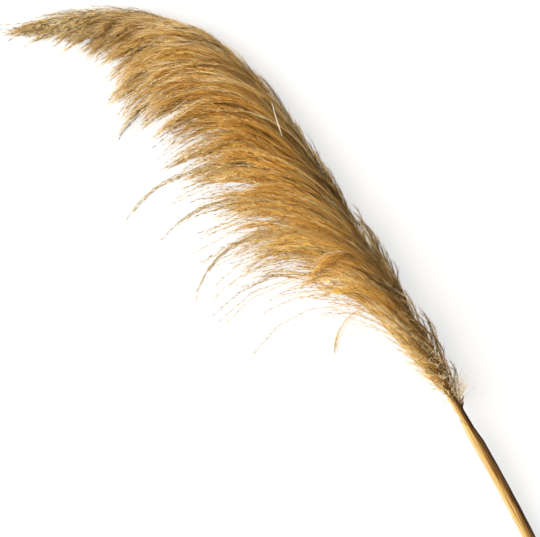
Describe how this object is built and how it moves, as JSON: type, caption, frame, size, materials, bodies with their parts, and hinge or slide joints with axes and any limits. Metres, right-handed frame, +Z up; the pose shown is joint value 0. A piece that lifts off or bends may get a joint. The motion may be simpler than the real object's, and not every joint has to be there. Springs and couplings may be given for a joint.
{
  "type": "pampas grass plume",
  "caption": "Dried pampas grass plume lying on a surface, with a cut length of stem in its leaf sheath and long silky sprays that droop to one side.",
  "frame": {"origin": "middle of the underside of its bounding box, on the surface that the plume lies on", "axes": "+X from the stem's cut end towards the plume's tip, +Y towards the side that the sprays droop to, +Z up from the surface"},
  "size_m": [0.7342, 0.1807, 0.0545],
  "materials": {
    "culm": "dry straw, satin",
    "leaf_sheath": "dry leaf, fibrous",
    "spray_whorl_01": "silky dry floss",
    "spray_whorl_02": "silky dry floss",
    "spray_whorl_03": "silky dry floss",
    "spray_whorl_04": "silky dry floss",
    "spray_whorl_05": "silky dry floss",
    "spray_whorl_06": "silky dry floss",
    "spray_whorl_07": "silky dry floss",
    "spray_whorl_08": "silky dry floss",
    "spray_whorl_09": "silky dry floss",
    "spray_whorl_10": "silky dry floss",
    "spray_whorl_11": "silky dry floss",
    "spray_whorl_12": "silky dry floss",
    "spray_whorl_13": "silky dry floss",
    "spray_whorl_14": "silky dry floss",
    "spray_whorl_15": "silky dry floss",
    "spray_whorl_16": "silky dry floss",
    "spray_whorl_17": "silky dry floss",
    "spray_whorl_18": "silky dry floss"
  },
  "bodies": {
    "root": {"culm": "culm", "leaf_sheath": "leaf_sheath", "spray_whorl_01": "spray_whorl_01", "spray_whorl_02": "spray_whorl_02", "spray_whorl_03": "spray_whorl_03", "spray_whorl_04": "spray_whorl_04", "spray_whorl_05": "spray_whorl_05", "spray_whorl_06": "spray_whorl_06", "spray_whorl_07": "spray_whorl_07", "spray_whorl_08": "spray_whorl_08", "spray_whorl_09": "spray_whorl_09", "spray_whorl_10": "spray_whorl_10", "spray_whorl_11": "spray_whorl_11", "spray_whorl_12": "spray_whorl_12", "spray_whorl_13": "spray_whorl_13", "spray_whorl_14": "spray_whorl_14", "spray_whorl_15": "spray_whorl_15", "spray_whorl_16": "spray_whorl_16", "spray_whorl_17": "spray_whorl_17", "spray_whorl_18": "spray_whorl_18"}
  },
  "joints": []
}
